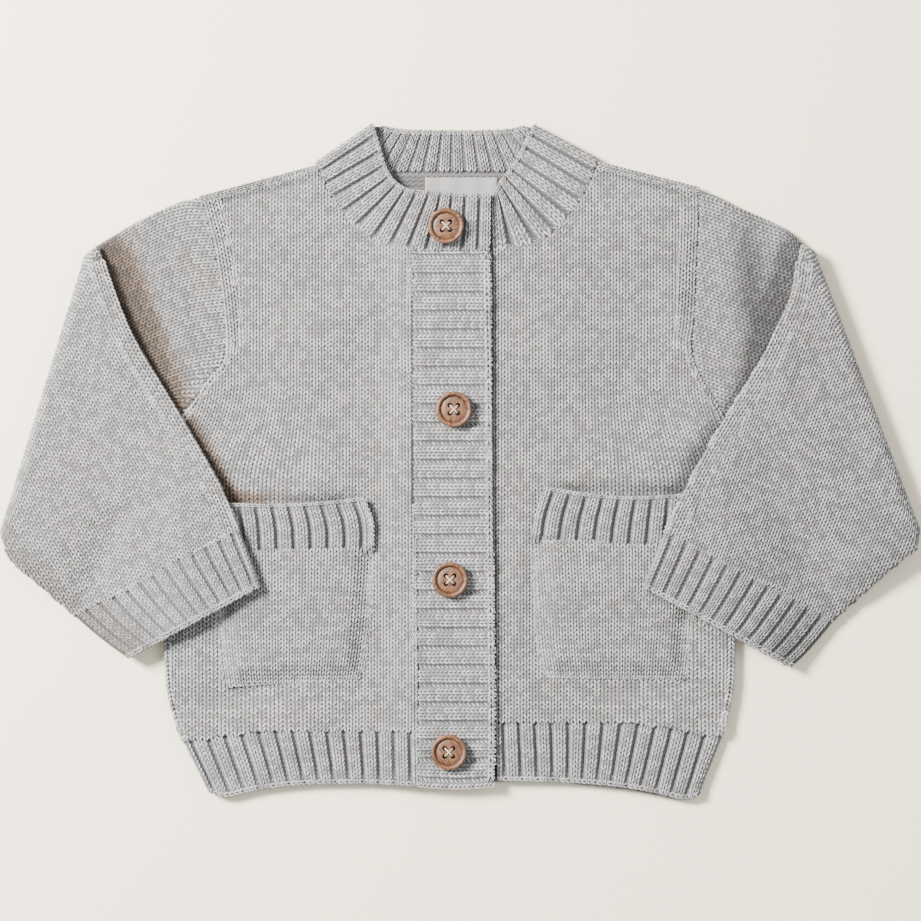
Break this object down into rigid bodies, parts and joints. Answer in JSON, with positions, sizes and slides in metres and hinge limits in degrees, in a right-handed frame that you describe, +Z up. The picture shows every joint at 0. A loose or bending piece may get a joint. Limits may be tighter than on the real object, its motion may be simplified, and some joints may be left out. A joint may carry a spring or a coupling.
{
  "type": "baby cardigan",
  "caption": "Knitted baby cardigan laid flat, sleeves folded over the fronts, with ribbed neckband, cuffs and hem, patch pockets and a buttoned front.",
  "frame": {"origin": "on the surface it lies on, below the middle of the whole garment as laid out", "axes": "+X across the garment to the right of someone looking down at its front, +Y towards the neck, +Z up"},
  "size_m": [0.3856, 0.284, 0.0112],
  "materials": {
    "grey_knit": "plain stockinette in heather grey yarn, matt and slightly fuzzy",
    "grey_rib": "two by two rib in heather grey yarn, matt",
    "cream_tape": "plain woven cotton tape and thread, matt",
    "tan_wood": "turned wood with a satin finish"
  },
  "bodies": {
    "root": {"back_panel": "grey_knit", "back_hem": "grey_rib", "front_left": "grey_knit", "front_right": "grey_knit", "front_hem_left": "grey_rib", "front_hem_right": "grey_rib", "sleeve_left": "grey_knit", "sleeve_right": "grey_knit", "cuff_left": "grey_rib", "cuff_right": "grey_rib", "neckband": "grey_rib", "button_band": "grey_rib", "buttonhole_band": "grey_rib", "pocket_left": "grey_knit", "pocket_right": "grey_knit", "pocket_rib_left": "grey_rib", "pocket_rib_right": "grey_rib", "neck_label": "cream_tape", "button_1": "tan_wood", "button_2": "tan_wood", "button_3": "tan_wood", "button_4": "tan_wood"}
  },
  "joints": []
}
